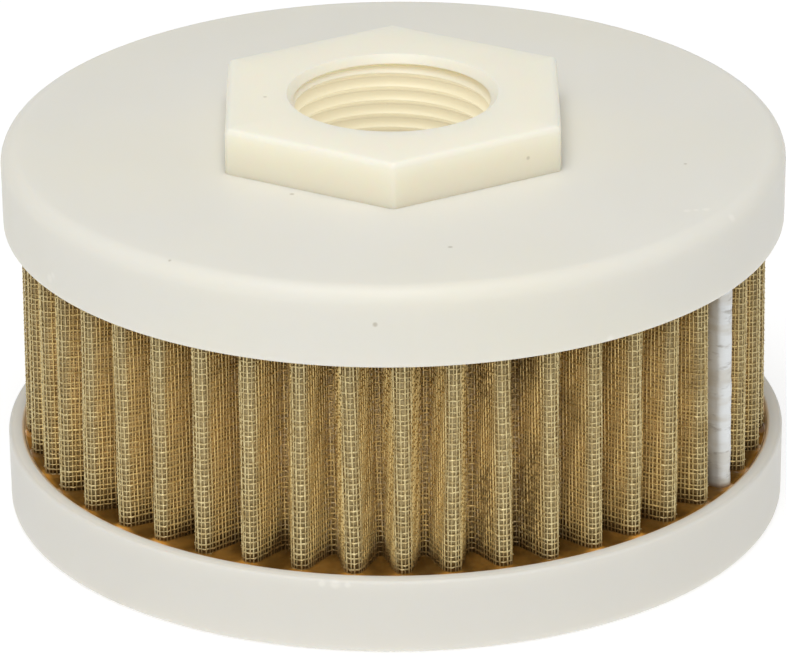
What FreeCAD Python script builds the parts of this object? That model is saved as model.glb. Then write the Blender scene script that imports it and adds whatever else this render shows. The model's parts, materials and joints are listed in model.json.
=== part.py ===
import FreeCAD, Part
import math
import os
import re

import Sketcher
from FreeCAD import Vector

# Hydraulic suction filter element: two moulded end caps, a threaded hexagon fitting,
# a pleated pack of three wire cloths closed by a folded clip, a perforated core tube,
# and a ring of cast resin in each cap. +Z up, millimetres, origin at the centre of the
# underside. Azimuths count from the front, -Y, towards +X.

# Driving dimensions: alias, value, meaning
DIMENSIONS = (
    ("cap_radius", 48.5, "largest radius of both end caps"),
    ("body_height", 47.6, "underside of the bottom cap to the face of the top cap"),
    ("top_cap_depth", 10.1, "height of the top cap's rim"),
    ("bottom_cap_depth", 9.75, "height of the bottom cap's rim"),
    ("plate_thickness", 2.5, "thickness of each cap's plate"),
    ("rim_wall", 2.0, "wall of each cap's rim at its widest"),
    ("rim_taper", 0.12, "how much each rim narrows from one edge to the other"),
    ("face_round", 2.2, "rounding of the top cap's outer edge"),
    ("base_round", 1.1, "rounding of the bottom cap's outer edge"),
    ("lip_round", 0.4, "rounding of the rims' free edges"),
    ("collar_wall", 1.6, "wall of the ring that centres the core tube"),
    ("collar_height", 6.8, "height of that ring above the plate"),
    ("collar_gap", 0.15, "clearance between that ring and the core tube"),
    ("pleat_count", 46, "folds round the pack, the seam among them"),
    ("seam_azimuth", 63.0, "azimuth of the seam, degrees"),
    ("tip_gap", 0.3, "clearance between the pleat tips and the rims"),
    ("pleat_height", 6.14, "tips of the outer cloth to the valleys of the inner one"),
    ("tip_bend", 1.25, "bend radius at a tip, outermost surface"),
    ("valley_bend", 0.4, "bend radius at a valley, outermost surface"),
    ("outer_cloth", 0.4, "thickness of the outer support mesh"),
    ("filter_cloth", 0.14, "thickness of the filter mesh"),
    ("inner_cloth", 0.36, "thickness of the inner support mesh"),
    ("cloth_gap", 0.02, "clearance between one cloth and the next"),
    ("seam_gap", 0.1, "clearance between the two ends of the pack at the seam"),
    ("seam_bend", 0.8, "bend radius where a seam leg turns radial"),
    ("seam_leg", 2.25, "straight radial length of the pack's two ends"),
    ("clip_metal", 0.42, "sheet thickness of the seam clip"),
    ("clip_gap", 0.02, "clearance between the clip and the pack"),
    ("clip_leg", 2.0, "straight length of the clip's two sides"),
    ("clip_proud", 0.1, "how far the clip's nose stands out past the pleat tips"),
    ("resin_bed", 0.8, "resin between the cap's plate and the ends of pack and core"),
    ("resin_gap", 0.02, "clearance between the resin and what it holds"),
    ("bottom_fill", 0.6, "resin surface below the bottom cap's edge"),
    ("top_fill", 1.2, "resin surface inside the top cap's edge"),
    ("core_wall", 0.6, "sheet thickness of the core tube"),
    ("core_gap", 0.15, "clearance between the core tube and the valleys"),
    ("core_columns", 24, "holes round the core tube in each row"),
    ("core_hole", 2.0, "radius of the holes in the core tube"),
    ("core_row_step", 6.5, "height from one row of holes to the next"),
    ("hex_flats", 41.0, "hexagon across flats"),
    ("hex_height", 5.85, "hexagon above the cap's face"),
    ("hex_gap", 0.1, "clearance between the hexagon and its hole"),
    ("hex_corner", 0.9, "rounding of the hexagon's upright edges"),
    ("hex_edge", 0.8, "rounding of the hexagon's upper edge"),
    ("bore_radius", 12.06, "bore at the thread's crests, G 3/4"),
    ("bore_chamfer", 1.0, "chamfer at both mouths of the bore"),
    ("sleeve_wall", 4.9, "wall of the threaded sleeve below the plate"),
    ("thread_length", 16.3, "length of the bore"),
    ("flange_radius", 30.0, "radius of the flange bonded under the plate"),
    ("flange_thickness", 2.4, "thickness of that flange"),
)

doc = FreeCAD.newDocument("SuctionFilter")
sheet = doc.addObject("Spreadsheet::Sheet", "Sizes")
for row, (alias, value, meaning) in enumerate(DIMENSIONS, 1):
    sheet.set(f"A{row}", meaning)
    sheet.set(f"B{row}", str(value))
    sheet.setAlias(f"B{row}", alias)
doc.recompute()
ALIASES = {alias for alias, value, meaning in DIMENSIONS}

# Sizes that follow from the driving ones, as expressions on the sheet
RIM_INNER = "(cap_radius - rim_wall)"
TIP = f"({RIM_INNER} - tip_gap)"
PACK = "(outer_cloth + filter_cloth + inner_cloth + 2 * cloth_gap)"
TIP_CENTRE = f"({TIP} - tip_bend)"
VALLEY = f"({TIP} - pleat_height)"
VALLEY_CENTRE = f"({VALLEY} + {PACK} + valley_bend)"
VALLEY_CENTRE_X = f"({VALLEY_CENTRE} * cos(180 / pleat_count))"
VALLEY_CENTRE_Y = f"({VALLEY_CENTRE} * sin(180 / pleat_count))"
PACK_BOTTOM = "(plate_thickness + resin_bed)"
PACK_LENGTH = f"(body_height - 2 * {PACK_BOTTOM})"
FIN_HALF = f"(seam_gap / 2 + {PACK})"
CLIP_INNER_HALF = f"({FIN_HALF} + clip_gap)"
CLIP_OUTER_HALF = f"({CLIP_INNER_HALF} + clip_metal)"
CLIP_NOSE_CENTRE = f"({TIP} + clip_proud - {CLIP_OUTER_HALF})"
FIN_END = f"({CLIP_NOSE_CENTRE} - clip_gap)"
FIN_START = f"({FIN_END} - seam_leg)"
CORE_OUTER = f"({VALLEY} - core_gap)"
COLLAR_OUTER = f"({CORE_OUTER} - core_wall - collar_gap)"
COLLAR_INNER = f"({COLLAR_OUTER} - collar_wall)"
PLATE_UNDERSIDE = "(body_height - plate_thickness)"
TOP_CAP_MOUTH = "(body_height - top_cap_depth)"
FITTING_TOP = "(body_height + hex_height)"
SLEEVE_BOTTOM = f"({FITTING_TOP} - thread_length)"


def on_sheet(expression):
    """The expression with each alias named through the sheet."""
    words = re.compile(r"[a-z_]+")
    return words.sub(lambda word: f"Sizes.{word[0]}" if word[0] in ALIASES else word[0], expression)


def value_of(expression):
    return float(sheet.evalExpression(on_sheet(expression)))


# Bodies and sketches


def new_body(name):
    body = doc.addObject("PartDesign::Body", name)
    body.Label = name
    return body


def new_sketch(body, name, plane="XY_Plane", height="0", turn="0"):
    """A sketch on one of the body's own planes, raised and turned about that plane's normal."""
    support = next(each for each in body.Origin.OriginFeatures if each.Role == plane)
    sketch = body.newObject("Sketcher::SketchObject", name)
    sketch.AttachmentSupport = (support, "")
    sketch.MapMode = "FlatFace"
    sketch.setExpression("AttachmentOffset.Base.z", on_sheet(height))
    sketch.setExpression("AttachmentOffset.Rotation.Angle", on_sheet(turn))
    return sketch


def bind(sketch, kind, references, expression):
    """Adds a dimension that follows the sheet."""
    index = sketch.addConstraint(Sketcher.Constraint(kind, *references, value_of(expression)))
    sketch.setExpression(f"Constraints[{index}]", on_sheet(expression))


def relate(sketch, kind, *references):
    sketch.addConstraint(Sketcher.Constraint(kind, *references))


START, END, CENTRE = 1, 2, 3
ORIGIN = (-1, 1)
X_AXIS, Y_AXIS = -1, -2


def place_point(sketch, geometry, end, across, up):
    """Fixes a point at a distance across and up from the sketch's origin."""
    for kind, axis, expression in (("DistanceX", Y_AXIS, across), ("DistanceY", X_AXIS, up)):
        if expression == "0":
            relate(sketch, "PointOnObject", geometry, end, axis)
        else:
            bind(sketch, kind, (*ORIGIN, geometry, end), expression)


def add_line(sketch, first, last):
    return sketch.addGeometry(Part.LineSegment(first, last))


def round_corner(before, corner, after, radius):
    """Centre and two touching points of an arc that rounds a corner, and whether it turns left."""
    back = (before - corner).normalize()
    ahead = (after - corner).normalize()
    half_angle = back.getAngle(ahead) / 2
    reach = radius / math.tan(half_angle)
    centre = corner + (back + ahead).normalize() * (radius / math.sin(half_angle))
    turns_left = (corner - before).cross(after - corner).z > 0
    return centre, corner + back * reach, corner + ahead * reach, turns_left


def add_outline(sketch, corners):
    """A closed outline of straight lines.

    A corner is a pair of expressions, or three where the third is the radius that rounds it.
    """
    points = [Vector(value_of(corner[0]), value_of(corner[1]), 0) for corner in corners]
    count = len(points)
    arrivals = list(points)
    departures = list(points)
    arcs = {}
    for index, corner in enumerate(corners):
        if len(corner) == 3:
            around = (points[index - 1], points[index], points[(index + 1) % count])
            radius = value_of(corner[2])
            centre, arrivals[index], departures[index], turns_left = round_corner(*around, radius)
            ends = [arrivals[index], departures[index]]
            if not turns_left:
                ends.reverse()
            angles = [math.atan2(end.y - centre.y, end.x - centre.x) for end in ends]
            circle = Part.Circle(centre, Vector(0, 0, 1), radius)
            arcs[index] = (sketch.addGeometry(Part.ArcOfCircle(circle, *angles)), turns_left)
    lines = [add_line(sketch, departures[index], arrivals[(index + 1) % count]) for index in range(count)]
    for index, corner in enumerate(corners):
        arriving, leaving = lines[index - 1], lines[index]
        if index not in arcs:
            relate(sketch, "Coincident", arriving, END, leaving, START)
            place_point(sketch, leaving, START, *corner)
            continue
        arc, turns_left = arcs[index]
        first, last = (START, END) if turns_left else (END, START)
        apex = sketch.addGeometry(Part.Point(points[index]), True)
        place_point(sketch, apex, START, corner[0], corner[1])
        relate(sketch, "PointOnObject", apex, START, arriving)
        relate(sketch, "PointOnObject", apex, START, leaving)
        relate(sketch, "Tangent", arriving, END, arc, first)
        relate(sketch, "Tangent", arc, last, leaving, START)
        bind(sketch, "Radius", (arc,), corner[2])


def add_circle(sketch, radius, across="0", up="0"):
    centre = Vector(value_of(across), value_of(up), 0)
    circle = sketch.addGeometry(Part.Circle(centre, Vector(0, 0, 1), value_of(radius)))
    bind(sketch, "Radius", (circle,), radius)
    place_point(sketch, circle, CENTRE, across, up)


def add_arc(sketch, centre, radius, first, last):
    """An arc whose centre and radius follow the sheet. Its two ends are left to its neighbours."""
    across, up = centre
    middle = Vector(value_of(across), value_of(up), 0)
    circle = Part.Circle(middle, Vector(0, 0, 1), value_of(radius))
    arc = sketch.addGeometry(Part.ArcOfCircle(circle, first, last))
    bind(sketch, "Radius", (arc,), radius)
    place_point(sketch, arc, CENTRE, across, up)
    return arc


def point(sketch, geometry, end):
    return sketch.getPoint(geometry, end)


# Features


def pad(body, sketch, length):
    feature = body.newObject("PartDesign::Pad", f"{sketch.Name}Pad")
    feature.Profile = sketch
    feature.setExpression("Length", on_sheet(length))
    sketch.Visibility = False
    return feature


def cut_through(body, sketch):
    """Cuts the sketch through everything on one side of it, and checks that it cut."""
    doc.recompute()
    before = body.Shape.Volume
    feature = body.newObject("PartDesign::Pocket", f"{sketch.Name}Pocket")
    feature.Profile = sketch
    feature.Type = "ThroughAll"
    doc.recompute()
    if not feature.Shape.Volume < before:
        raise RuntimeError(f"{feature.Name} cuts nothing")
    return feature


def revolve(body, sketch):
    feature = body.newObject("PartDesign::Revolution", f"{sketch.Name}Turn")
    feature.Profile = sketch
    feature.ReferenceAxis = (sketch, ["V_Axis"])
    feature.Angle = 360
    return feature


def polar_pattern(body, feature, sketch, axis, angle, count):
    pattern = body.newObject("PartDesign::PolarPattern", f"{feature.Name}Pattern")
    pattern.Originals = [feature]
    pattern.Axis = (sketch, [axis])
    pattern.setExpression("Angle", on_sheet(angle))
    pattern.setExpression("Occurrences", on_sheet(count))
    pattern.Refine = True
    body.Tip = pattern
    return pattern


def level_edges(body, height, radius=None):
    """Names of the edges that lie flat at one height, or only the full circles of one radius."""
    doc.recompute()
    level = value_of(height)
    names = []
    for index, edge in enumerate(body.Shape.Edges, 1):
        if any(abs(vertex.Point.z - level) > 1e-6 for vertex in edge.Vertexes):
            continue
        if radius is None or (edge.Closed and abs(edge.Curve.Radius - value_of(radius)) < 1e-6):
            names.append(f"Edge{index}")
    return names


def dress(body, kind, edges, size_name):
    """Rounds or chamfers the named edges by a size on the sheet."""
    base = body.Tip
    feature = body.newObject(f"PartDesign::{kind}", f"{body.Name}_{size_name}")
    feature.Base = (base, edges)
    feature.setExpression("Radius" if kind == "Fillet" else "Size", on_sheet(size_name))
    return feature


# End caps


def cap_section(face, mouth, towards_mouth, face_corner, mouth_radius):
    """Half section of a cap whose plate starts at height face and whose rim ends at mouth."""
    inside = f"({face} {towards_mouth} plate_thickness)"
    collar_top = f"({inside} {towards_mouth} collar_height)"
    return (
        ("0", face),
        face_corner,
        (mouth_radius, mouth, "lip_round"),
        (RIM_INNER, mouth),
        (RIM_INNER, inside),
        (COLLAR_OUTER, inside),
        (COLLAR_OUTER, collar_top),
        (COLLAR_INNER, collar_top),
        (COLLAR_INNER, inside),
        ("0", inside),
    )


def make_cap(name, section):
    body = new_body(name)
    sketch = new_sketch(body, f"{name}_section", "XZ_Plane")
    add_outline(sketch, section)
    revolve(body, sketch)
    return body


NARROW_RADIUS = "(cap_radius - rim_taper)"


def make_bottom_cap():
    face_corner = (NARROW_RADIUS, "0", "base_round")
    return make_cap("bottom_cap", cap_section("0", "bottom_cap_depth", "+", face_corner, "cap_radius"))


def hexagon(flats, corner_radius):
    """Corners of a hexagon with one corner towards the front, each of them rounded."""
    reach = f"({flats} / sqrt(3))"
    side = f"({flats} / 2)"
    return (
        ("0", reach, corner_radius),
        (f"-{side}", f"({reach} / 2)", corner_radius),
        (f"-{side}", f"(-{reach} / 2)", corner_radius),
        ("0", f"-{reach}", corner_radius),
        (side, f"(-{reach} / 2)", corner_radius),
        (side, f"({reach} / 2)", corner_radius),
    )


def make_top_cap():
    face_corner = ("cap_radius", "body_height", "face_round")
    section = cap_section("body_height", TOP_CAP_MOUTH, "-", face_corner, NARROW_RADIUS)
    body = make_cap("top_cap", section)
    opening = new_sketch(body, "hexagon_opening", height="body_height")
    add_outline(opening, hexagon("(hex_flats + 2 * hex_gap)", "(hex_corner + hex_gap)"))
    cut_through(body, opening)
    return body


# Threaded hexagon fitting


def make_fitting():
    body = new_body("hex_port_fitting")
    flange = new_sketch(body, "flange", height=f"({PLATE_UNDERSIDE} - flange_thickness)")
    add_circle(flange, "flange_radius")
    pad(body, flange, "flange_thickness")
    sleeve = new_sketch(body, "sleeve", height=SLEEVE_BOTTOM)
    add_circle(sleeve, "(bore_radius + sleeve_wall)")
    pad(body, sleeve, f"({PLATE_UNDERSIDE} - {SLEEVE_BOTTOM})")
    head = new_sketch(body, "hexagon_head", height=PLATE_UNDERSIDE)
    add_outline(head, hexagon("hex_flats", "hex_corner"))
    pad(body, head, "(plate_thickness + hex_height)")
    dress(body, "Fillet", level_edges(body, FITTING_TOP), "hex_edge")
    bore = new_sketch(body, "bore", height=FITTING_TOP)
    add_circle(bore, "bore_radius")
    cut_through(body, bore)
    upper_mouth = level_edges(body, FITTING_TOP, "bore_radius")
    mouths = upper_mouth + level_edges(body, SLEEVE_BOTTOM, "bore_radius")
    dress(body, "Chamfer", mouths, "bore_chamfer")
    return body


# Pleated pack. Every cloth follows the outermost surface at its own depth below it, so a
# tip gets tighter with depth and a valley wider. A pleat is drawn with its tip on the
# sketch's X axis, from the middle of one valley to the middle of the next.


def leg_direction():
    """Direction from each bend's centre to where a leg leaves it, the same at every depth."""
    run = value_of(VALLEY_CENTRE_X) - value_of(TIP_CENTRE)
    rise = value_of(VALLEY_CENTRE_Y)
    bends = value_of("(tip_bend + valley_bend)")
    return math.atan2(rise, run) - math.acos(bends / math.hypot(run, rise))


def mirrored(angle, side):
    return angle if side > 0 else -angle


def valley_centre(side):
    return (VALLEY_CENTRE_X, VALLEY_CENTRE_Y if side > 0 else f"-{VALLEY_CENTRE_Y}")


def add_valley(sketch, depth, side, leaving):
    """Half of a valley's bend, from its middle to where the leg leaves it."""
    half = math.pi / value_of("pleat_count")
    ends = sorted((mirrored(math.pi + half, side), mirrored(leaving, side)))
    return add_arc(sketch, valley_centre(side), f"(valley_bend + {depth})", *ends)


def close_valley(sketch, near, far, side):
    """The radial line in the middle of a valley that joins two depths."""
    middle_end = START if side > 0 else END
    line = add_line(sketch, point(sketch, near, middle_end), point(sketch, far, middle_end))
    relate(sketch, "Coincident", line, START, near, middle_end)
    relate(sketch, "Coincident", line, END, far, middle_end)
    relate(sketch, "PointOnObject", *ORIGIN, line)
    relate(sketch, "PointOnObject", near, CENTRE, line)


def add_pleat(sketch, near_depth, far_depth):
    direction = leg_direction()
    valleys = {}
    for depth in (near_depth, far_depth):
        tip_radius = f"(tip_bend - {depth})"
        tip = add_arc(sketch, (TIP_CENTRE, "0"), tip_radius, -direction, direction)
        for side in (1, -1):
            valley = add_valley(sketch, depth, side, direction + math.pi)
            leaving = END if side > 0 else START
            leg = add_line(sketch, point(sketch, tip, leaving), point(sketch, valley, leaving))
            relate(sketch, "Tangent", tip, leaving, leg, START)
            relate(sketch, "Tangent", leg, END, valley, leaving)
            valleys[depth, side] = valley
    for side in (1, -1):
        close_valley(sketch, valleys[near_depth, side], valleys[far_depth, side], side)


def join_ends(sketch, first, second):
    """A line from the end of one line to the end of another."""
    line = add_line(sketch, point(sketch, first, END), point(sketch, second, END))
    relate(sketch, "Coincident", line, START, first, END)
    relate(sketch, "Coincident", line, END, second, END)


def slant_direction():
    """Direction from the centres of a seam leg's two bends to the slant that touches both."""
    run = value_of(FIN_START) - value_of(VALLEY_CENTRE_X)
    rise = value_of(f"({FIN_HALF} + seam_bend)") - value_of(VALLEY_CENTRE_Y)
    difference = value_of("(valley_bend - seam_bend)")
    return math.atan2(rise, run) - math.acos(difference / math.hypot(run, rise))


def add_seam_leg(sketch, near_depth, far_depth, side):
    """One free end of the pack: out of its valley, slanting to the seam, then straight out."""
    direction = slant_direction()
    bend_up = f"({FIN_HALF} + seam_bend)" if side > 0 else f"-({FIN_HALF} + seam_bend)"
    valleys = []
    ends = []
    for depth in (near_depth, far_depth):
        valley = add_valley(sketch, depth, side, direction + 2 * math.pi)
        first, last = sorted((mirrored(direction, side), mirrored(-math.pi / 2, side)))
        bend = add_arc(sketch, (FIN_START, bend_up), f"(seam_bend + {depth})", first, last)
        leaving, arriving = (END, START) if side > 0 else (START, END)
        slant = add_line(sketch, point(sketch, valley, leaving), point(sketch, bend, arriving))
        relate(sketch, "Tangent", valley, leaving, slant, START)
        relate(sketch, "Tangent", slant, END, bend, arriving)
        begin = point(sketch, bend, leaving)
        straight = add_line(sketch, begin, Vector(value_of(FIN_END), begin.y, 0))
        relate(sketch, "Tangent", bend, leaving, straight, START)
        relate(sketch, "Horizontal", straight)
        bind(sketch, "DistanceX", (*ORIGIN, straight, END), FIN_END)
        valleys.append(valley)
        ends.append(straight)
    close_valley(sketch, *valleys, side)
    join_ends(sketch, *ends)


SEAM_TURN = "(seam_azimuth - 90)"
ONE_PITCH = "(360 / pleat_count)"


def turn_to_seam(item):
    """Turns a body whose seam lies on X to the seam's azimuth."""
    item.setExpression("Placement.Rotation.Angle", on_sheet(SEAM_TURN))


def make_pleated(name, near_depth, far_depth, bottom=PACK_BOTTOM, length=PACK_LENGTH):
    """A pleated cloth between two depths below the pack's outermost surface."""
    body = new_body(name)
    fold = new_sketch(body, f"{name}_fold", height=bottom, turn=ONE_PITCH)
    add_pleat(fold, near_depth, far_depth)
    folds_angle = f"({ONE_PITCH} * (pleat_count - 2))"
    first_fold = pad(body, fold, length)
    polar_pattern(body, first_fold, fold, "N_Axis", folds_angle, "(pleat_count - 1)")
    ends = new_sketch(body, f"{name}_ends", height=bottom)
    for side in (1, -1):
        add_seam_leg(ends, near_depth, far_depth, side)
    pad(body, ends, length)
    turn_to_seam(body)
    return body


# Seam clip


def add_clip_side(sketch, half_width):
    """The clip's nose and two sides at one half width. Gives the two sides' free ends."""
    turn = math.pi / 2
    nose = add_arc(sketch, (CLIP_NOSE_CENTRE, "0"), half_width, -turn, turn)
    sides = []
    for leaving in (START, END):
        begin = point(sketch, nose, leaving)
        free = f"({CLIP_NOSE_CENTRE} - clip_leg)"
        side = add_line(sketch, begin, Vector(value_of(free), begin.y, 0))
        relate(sketch, "Tangent", nose, leaving, side, START)
        relate(sketch, "Horizontal", side)
        bind(sketch, "DistanceX", (*ORIGIN, side, END), free)
        sides.append(side)
    return sides


def make_seam_clip():
    body = new_body("seam_clip")
    sketch = new_sketch(body, "clip_section", height=PACK_BOTTOM)
    outer = add_clip_side(sketch, CLIP_OUTER_HALF)
    inner = add_clip_side(sketch, CLIP_INNER_HALF)
    for first, second in zip(outer, inner):
        join_ends(sketch, first, second)
    pad(body, sketch, PACK_LENGTH)
    turn_to_seam(body)
    return body


def make_ring(name, inner, outer, bottom, length):
    body = new_body(name)
    sketch = new_sketch(body, f"{name}_circles", height=bottom)
    add_circle(sketch, outer)
    add_circle(sketch, inner)
    pad(body, sketch, length)
    return body


# Core tube

CORE_INNER = f"({CORE_OUTER} - core_wall)"
CORE_ROWS = 4


def core_drills():
    """One short rod through the wall for each hole, the rows staggered by half a column."""
    columns = int(value_of("core_columns"))
    inside = value_of(f"({CORE_INNER} - core_wall)")
    radius = value_of("core_hole")
    length = value_of("3 * core_wall")
    drills = []
    for row in range(CORE_ROWS):
        height = value_of(f"(body_height / 2 + {row - (CORE_ROWS - 1) / 2} * core_row_step)")
        for column in range(columns):
            turn = 2 * math.pi * (column + row % 2 / 2) / columns
            outwards = Vector(math.cos(turn), math.sin(turn), 0)
            foot = outwards * inside + Vector(0, 0, height)
            drills.append(Part.makeCylinder(radius, length, foot, outwards))
    return Part.makeCompound(drills)


def make_core():
    tube = make_ring("core_tube", CORE_INNER, CORE_OUTER, PACK_BOTTOM, PACK_LENGTH)
    drills = doc.addObject("Part::Feature", "core_drills")
    drills.Shape = core_drills()
    core = doc.addObject("Part::Cut", "core")
    core.Base = tube
    core.Tool = drills
    core.Label = "perforated_core"
    return core


# Cast resin. Each ring is a plain ring less the room that pack, core and clip take in it.

ROOM_BOTTOM = f"({PACK_BOTTOM} - resin_gap)"
ROOM_LENGTH = f"({PACK_LENGTH} + 2 * resin_gap)"


def make_clip_room():
    """The clip and the ends of the pack that it holds, as one block."""
    body = new_body("clip_room")
    sketch = new_sketch(body, "clip_block", height=ROOM_BOTTOM)
    join_ends(sketch, *add_clip_side(sketch, f"({CLIP_OUTER_HALF} + resin_gap)"))
    pad(body, sketch, ROOM_LENGTH)
    turn_to_seam(body)
    return body


def make_potting(name, bottom, top, rooms):
    inner = f"({COLLAR_OUTER} + resin_gap)"
    outer = f"({RIM_INNER} - resin_gap)"
    shape = make_ring(f"{name}_ring", inner, outer, bottom, f"({top} - {bottom})")
    for room in rooms:
        cut = doc.addObject("Part::Cut", f"{name}_less_{room.Name}")
        cut.Base = shape
        cut.Tool = room
        shape = cut
    shape.Label = name
    return shape


def make_parts():
    outer = ("0", "outer_cloth")
    middle_start = "(outer_cloth + cloth_gap)"
    middle = (middle_start, f"({middle_start} + filter_cloth)")
    inner = (f"({PACK} - inner_cloth)", PACK)
    pleat_room = ("-resin_gap", f"({PACK} + resin_gap)")
    core_room = (f"({CORE_INNER} - resin_gap)", f"({CORE_OUTER} + resin_gap)")
    rooms = (
        make_ring("core_room", *core_room, ROOM_BOTTOM, ROOM_LENGTH),
        make_clip_room(),
        make_pleated("pleat_room", *pleat_room, ROOM_BOTTOM, ROOM_LENGTH),
    )
    bottom_fill_top = "(bottom_cap_depth - bottom_fill)"
    top_fill_bottom = f"({TOP_CAP_MOUTH} + top_fill)"
    return (
        make_bottom_cap(),
        make_top_cap(),
        make_fitting(),
        make_pleated("outer_support_mesh", *outer),
        make_pleated("filter_mesh", *middle),
        make_pleated("inner_support_mesh", *inner),
        make_seam_clip(),
        make_core(),
        make_potting("bottom_potting", "plate_thickness", bottom_fill_top, rooms),
        make_potting("top_potting", top_fill_bottom, PLATE_UNDERSIDE, rooms),
    )


parts = make_parts()
doc.recompute()
for item in doc.Objects:
    if {"Invalid", "Error"} & set(item.State):
        raise RuntimeError(f"{item.Name}: {item.getStatusString()}")
for part in parts:
    if part.Shape.isNull() or not part.Shape.isValid() or len(part.Shape.Solids) != 1:
        raise RuntimeError(f"{part.Label} is not one valid solid")

os.makedirs("parts", exist_ok=True)
for part in parts:
    part.Shape.exportStep(os.path.join("parts", f"{part.Label}.step"))
    print(part.Label, round(part.Shape.Volume, 1), len(part.Shape.Faces))
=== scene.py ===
"""The looks of a pleated suction filter element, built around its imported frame.

Each operator makes one piece or one group of like pieces, in metres, in the row frame.
The sizes and colours are properties of the scene, shown in the panel Filter Element.
"""

import json
import math

import bmesh
import bpy
import numpy as np
from bpy.props import FloatProperty, FloatVectorProperty, IntProperty, PointerProperty
from mathutils import Matrix, Vector, noise

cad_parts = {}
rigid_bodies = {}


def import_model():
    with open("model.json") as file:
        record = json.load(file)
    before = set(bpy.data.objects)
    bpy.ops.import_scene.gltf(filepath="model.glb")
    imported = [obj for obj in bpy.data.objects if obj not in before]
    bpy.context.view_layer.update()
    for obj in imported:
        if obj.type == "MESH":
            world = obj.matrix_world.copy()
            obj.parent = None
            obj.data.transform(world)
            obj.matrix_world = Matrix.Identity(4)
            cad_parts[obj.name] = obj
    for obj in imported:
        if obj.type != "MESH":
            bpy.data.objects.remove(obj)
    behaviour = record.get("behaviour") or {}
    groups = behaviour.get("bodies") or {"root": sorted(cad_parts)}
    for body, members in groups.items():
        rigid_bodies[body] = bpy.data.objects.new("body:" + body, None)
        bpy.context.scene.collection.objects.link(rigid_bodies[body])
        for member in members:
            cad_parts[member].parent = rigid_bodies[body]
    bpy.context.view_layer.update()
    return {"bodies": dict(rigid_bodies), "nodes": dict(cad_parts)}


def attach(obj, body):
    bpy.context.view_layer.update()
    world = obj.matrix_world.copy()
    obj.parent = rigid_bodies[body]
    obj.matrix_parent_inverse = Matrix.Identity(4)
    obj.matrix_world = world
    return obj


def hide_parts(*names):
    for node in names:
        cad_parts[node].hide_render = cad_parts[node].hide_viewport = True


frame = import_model()

bl_info = {
    "name": "Filter Element",
    "version": (1, 0, 0),
    "blender": (4, 5, 0),
    "location": "View3D > Sidebar > Filter Element",
    "description": "Builds the looks of a pleated suction filter element",
    "category": "Add Mesh",
}

MM = 0.001
QUARTER = math.pi / 2
ABOUT_Z = Vector((0, 0, 1))
MERGED = 2e-7
SHARP = math.radians(38)
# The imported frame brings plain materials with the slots' names, so these get longer ones.
FINISHED = "_finished"


def length(name, millimetres, description):
    """A property for a length, stated in millimetres and held in metres."""
    return FloatProperty(
        name=name,
        description=description,
        default=millimetres * MM,
        min=0.0,
        precision=5,
        subtype="DISTANCE",
        unit="LENGTH",
    )


def colour(name, value, description):
    return FloatVectorProperty(
        name=name, description=description, default=value, size=3, min=0.0, max=1.0, subtype="COLOR"
    )


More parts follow.
